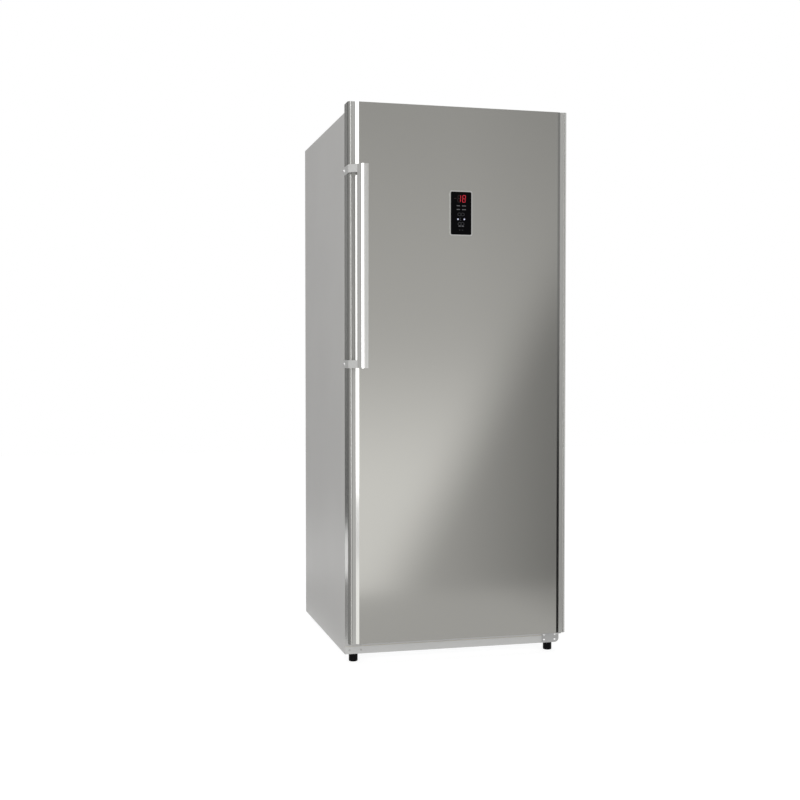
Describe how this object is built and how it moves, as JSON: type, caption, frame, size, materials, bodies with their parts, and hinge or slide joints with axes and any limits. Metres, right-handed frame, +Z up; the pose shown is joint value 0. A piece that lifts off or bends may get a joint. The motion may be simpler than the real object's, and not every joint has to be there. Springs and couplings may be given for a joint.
{
  "type": "upright freezer",
  "caption": "Free-standing upright freezer: a full-height stainless door with fluted edges, a side bar handle and a touch panel, over shelves, drawers, door bins and a cooling unit.",
  "frame": {"origin": "on the floor, midway between the sides and between the handle's front and the cabinet's back", "axes": "+X to the viewer's right facing the door, +Y from the door to the back, +Z up"},
  "size_m": [0.717, 0.81, 1.727],
  "materials": {
    "cabinet_paint": "satin light grey",
    "galvanised": "zinc coated",
    "bracket_paint": "satin grey",
    "stainless": "vertical brushed",
    "profile_metal": "satin",
    "handle_metal": "satin",
    "fixings": "plated",
    "grey_plastic": "satin",
    "liner_plastic": "gloss white",
    "white_plastic": "satin white",
    "clear_plastic": "clear",
    "shelf_glass": "clear",
    "light_lens": "milky",
    "foam": "foamed",
    "seal": "matt grey",
    "black_plastic": "matt black",
    "display_black": "gloss black",
    "black_rubber": "matt black",
    "compressor_paint": "satin black",
    "condenser_metal": "satin black",
    "evaporator_metal": "mill",
    "heater_metal": "satin",
    "bush_plastic": "satin"
  },
  "bodies": {
    "cabinet": {"outer_shell": "cabinet_paint", "kick_rail": "cabinet_paint", "back_panel": "galvanised", "bottom_panel": "galvanised", "compressor_base": "galvanised", "rear_cover": "galvanised", "roller_brackets": "galvanised", "condenser_fan_shroud": "galvanised", "hinge_bracket_upper": "galvanised", "hinge_bracket_lower": "bracket_paint", "hinge_pins": "fixings", "hinge_screws": "fixings", "hinge_cover": "grey_plastic", "hole_plugs": "grey_plastic", "inner_liner": "liner_plastic", "shelf_trims": "white_plastic", "drawer_rails": "white_plastic", "air_duct_cover": "white_plastic", "glass_shelf_1": "shelf_glass", "glass_shelf_2": "shelf_glass", "glass_shelf_3": "shelf_glass", "light_cover": "light_lens", "cabinet_foam": "foam", "control_box": "black_plastic", "drip_tray": "black_plastic", "compressor_mounts": "black_rubber", "cord_inlet": "black_rubber", "compressor": "compressor_paint", "condenser_coil": "condenser_metal", "evaporator_coil": "evaporator_metal", "evaporator_fins": "evaporator_metal", "defrost_heater": "heater_metal", "evaporator_fan_motor": "heater_metal", "condenser_fan_motor": "heater_metal"},
    "door": {"door_panel": "stainless", "door_profile_left": "profile_metal", "door_profile_right": "profile_metal", "door_cap_top": "grey_plastic", "door_cap_bottom": "grey_plastic", "door_liner": "liner_plastic", "door_foam": "foam", "door_gasket": "seal", "hinge_bushes": "bush_plastic", "display_bezel": "fixings", "display_glass": "display_black", "handle_bar": "handle_metal", "handle_brackets": "handle_metal", "handle_screws": "fixings", "door_bin_1": "clear_plastic", "door_bin_2": "clear_plastic", "door_bin_3": "clear_plastic", "door_bin_4": "clear_plastic"},
    "drawer_upper_body": {"drawer_upper": "clear_plastic"},
    "drawer_lower_body": {"drawer_lower": "clear_plastic"},
    "evaporator_fan": {"evaporator_fan_blade": "white_plastic"},
    "condenser_fan": {"condenser_fan_blade": "black_plastic"},
    "foot_left": {"front_foot_left": "black_plastic"},
    "foot_right": {"front_foot_right": "black_plastic"},
    "roller_left": {"rear_roller_left": "black_plastic"},
    "roller_right": {"rear_roller_right": "black_plastic"}
  },
  "joints": [
    {"name": "door_hinge", "type": "hinge", "parent": "cabinet", "child": "door", "pos_m": [0.34, -0.318, 0.9], "axis": [0, 0, 1], "range_deg": [0, 115]},
    {"name": "drawer_upper_slide", "type": "slide", "parent": "cabinet", "child": "drawer_upper_body", "axis": [0, -1, 0], "range_m": [0, 0.208]},
    {"name": "drawer_lower_slide", "type": "slide", "parent": "cabinet", "child": "drawer_lower_body", "axis": [0, -1, 0], "range_m": [0, 0.208]},
    {"name": "evaporator_fan_spin", "type": "hinge", "parent": "cabinet", "child": "evaporator_fan", "pos_m": [0, 0.289, 0.785], "axis": [0, -1, 0], "continuous": true},
    {"name": "condenser_fan_spin", "type": "hinge", "parent": "cabinet", "child": "condenser_fan", "pos_m": [0.04, 0.305, 0.128], "axis": [1, 0, 0], "continuous": true},
    {"name": "foot_left_thread", "type": "hinge", "parent": "cabinet", "child": "foot_left", "pos_m": [-0.324, -0.273, 0.013], "axis": [0, 0, 1], "range_deg": [0, 2880]},
    {"name": "foot_right_thread", "type": "hinge", "parent": "cabinet", "child": "foot_right", "pos_m": [0.324, -0.273, 0.013], "axis": [0, 0, 1], "range_deg": [0, 2880]},
    {"name": "roller_left_roll", "type": "hinge", "parent": "cabinet", "child": "roller_left", "pos_m": [-0.3, 0.37, 0.014], "axis": [1, 0, 0], "continuous": true},
    {"name": "roller_right_roll", "type": "hinge", "parent": "cabinet", "child": "roller_right", "pos_m": [0.3, 0.37, 0.014], "axis": [1, 0, 0], "continuous": true}
  ],
  "couplings": [
    {"joint": "drawer_upper_slide", "follows": "door_hinge", "m_per_rad": 0.10313},
    {"joint": "drawer_lower_slide", "follows": "door_hinge", "m_per_rad": 0.10313}
  ]
}
